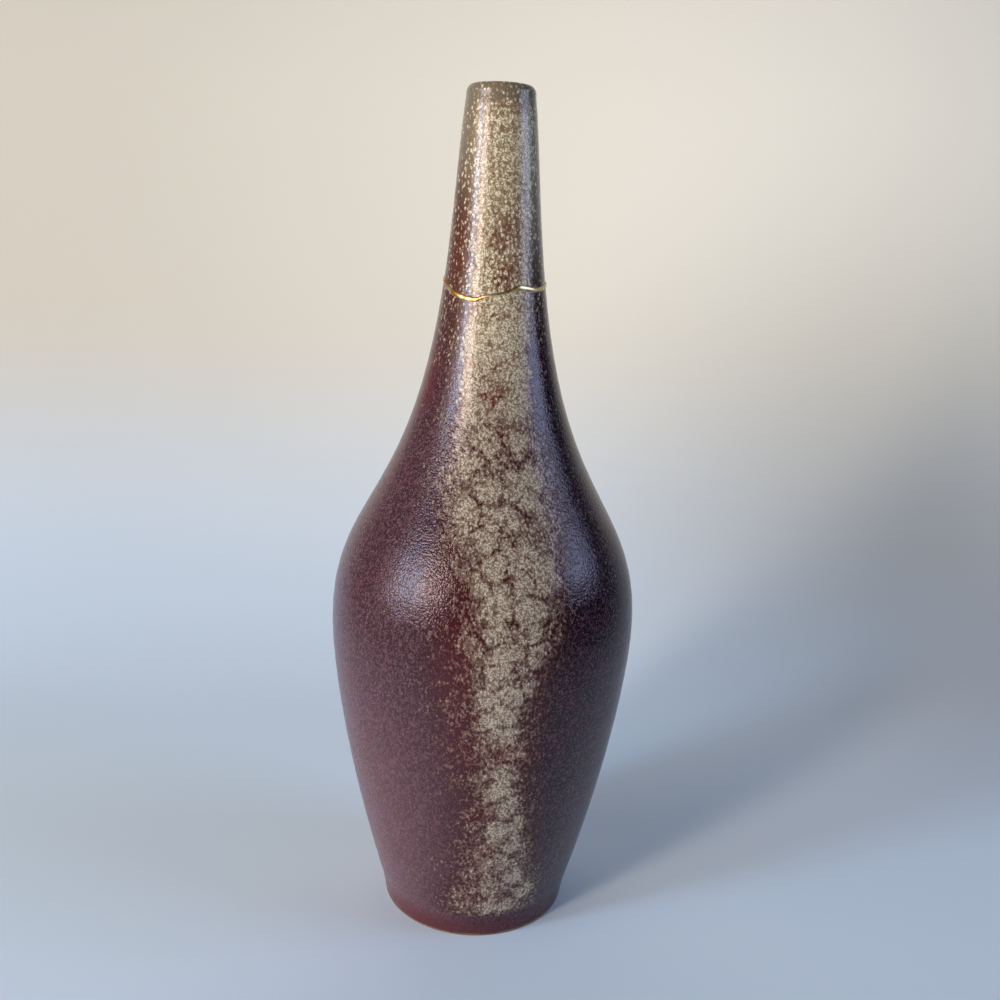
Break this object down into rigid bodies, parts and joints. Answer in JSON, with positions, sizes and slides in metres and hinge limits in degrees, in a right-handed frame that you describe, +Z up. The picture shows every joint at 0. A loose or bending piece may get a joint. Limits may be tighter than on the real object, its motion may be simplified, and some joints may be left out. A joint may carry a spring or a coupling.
{
  "type": "kintsugi bottle vase",
  "caption": "Tall thrown stoneware bottle vase with a narrow neck, plum glaze and a pale dripped streak, its broken neck mended with a gold lacquer seam.",
  "frame": {"origin": "centre of the foot, on the plane that the vase stands on", "axes": "+Z up along the axis the vase was thrown on, -Y is the front with the pale streak, +X is to the right as seen from the front"},
  "size_m": [0.093, 0.093, 0.25],
  "materials": {
    "body_glaze": "satin plum stoneware glaze, finely speckled, with a pale mottled streak down the front",
    "neck_glaze": "satin olive-grey and plum stoneware glaze, speckled",
    "gold_lacquer": "gold powder on lacquer, slightly uneven"
  },
  "bodies": {
    "root": {"vase_body": "body_glaze", "neck_shard": "neck_glaze", "gold_seam": "gold_lacquer"}
  },
  "joints": []
}
